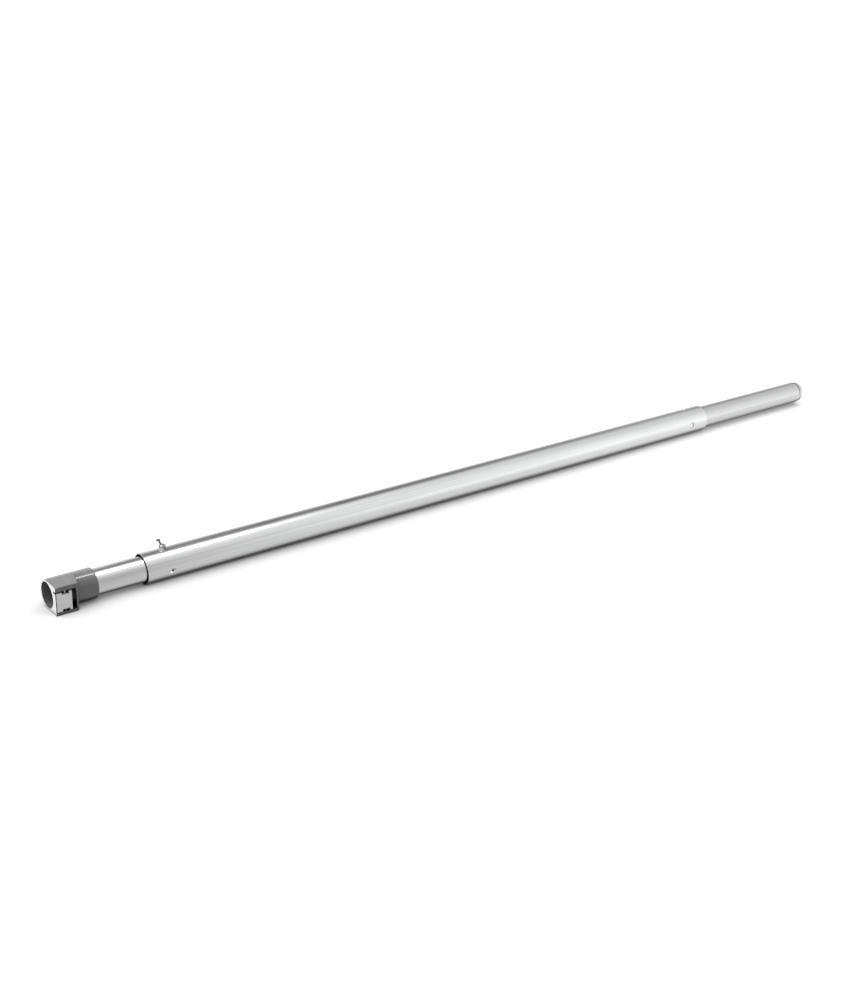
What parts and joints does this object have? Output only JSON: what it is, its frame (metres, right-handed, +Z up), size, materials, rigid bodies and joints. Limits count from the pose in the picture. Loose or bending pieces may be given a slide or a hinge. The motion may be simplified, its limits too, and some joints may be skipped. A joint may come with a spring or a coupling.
{
  "type": "telescopic vacuum cleaner tube",
  "caption": "Telescopic suction tube: a slim tube slides in a wider one, held by a wing screw, with a latched socket coupling at one end and a plain hose spigot at the other.",
  "frame": {"origin": "centre of the coupling's mouth, on the bore axis", "axes": "+X along the bore from the coupling's mouth to the spigot's tip, -Y towards the latch, +Z up, with the tube lying on a floor at Z = -0.019 m"},
  "size_m": [1.288, 0.0432, 0.0453],
  "materials": {
    "tube_metal": "drawn aluminium, bright satin",
    "spigot_metal": "drawn aluminium, duller satin",
    "bush_plastic": "black moulded plastic",
    "seal_rubber": "soft black rubber",
    "screw_steel": "zinc plated steel",
    "screw_dark": "blackened steel with a soft gloss",
    "pad_brass": "plain brass",
    "body_plastic": "dark grey moulded plastic with a soft gloss",
    "latch_plastic": "light grey moulded plastic"
  },
  "bodies": {
    "outer": {"outer_tube": "tube_metal", "clamp_nut": "screw_steel", "guide_bush": "bush_plastic", "spigot_bush": "bush_plastic", "spigot_tube": "spigot_metal"},
    "slide_ring": {"tail_ring": "bush_plastic", "tail_seal": "seal_rubber"},
    "inner": {"inner_tube": "tube_metal", "coupling_body": "body_plastic", "latch_pin": "screw_steel", "latch_spring": "screw_steel"},
    "rocker": {"latch_rocker": "latch_plastic"},
    "pad": {"thrust_pad": "pad_brass"},
    "screw": {"wing_screw": "screw_dark"}
  },
  "joints": [
    {"name": "telescope", "type": "slide", "parent": "outer", "child": "slide_ring", "axis": [-1, 0, 0], "range_m": [-0.063, 0.486]},
    {"name": "tube_twist", "type": "hinge", "parent": "slide_ring", "child": "inner", "pos_m": [0, 0, 0], "axis": [1, 0, 0], "continuous": true},
    {"name": "latch_press", "type": "hinge", "parent": "inner", "child": "rocker", "pos_m": [0.0128, -0.02018, -0.0009], "axis": [0, 0.0444, -0.999], "range_deg": [0, 9], "stiffness_Nm_per_rad": 0.12, "springref_deg": -0.57, "deforming": ["latch_spring"]},
    {"name": "pad_lift", "type": "slide", "parent": "outer", "child": "pad", "axis": [0, 0, 1], "range_m": [0, 0.0016]},
    {"name": "screw_turn", "type": "hinge", "parent": "pad", "child": "screw", "pos_m": [0.1497, 0, 0.02195], "axis": [0, 0, 1], "range_deg": [0, 720]}
  ],
  "couplings": [
    {"joint": "screw_turn", "follows": "pad_lift", "rad_per_m": 7854}
  ]
}
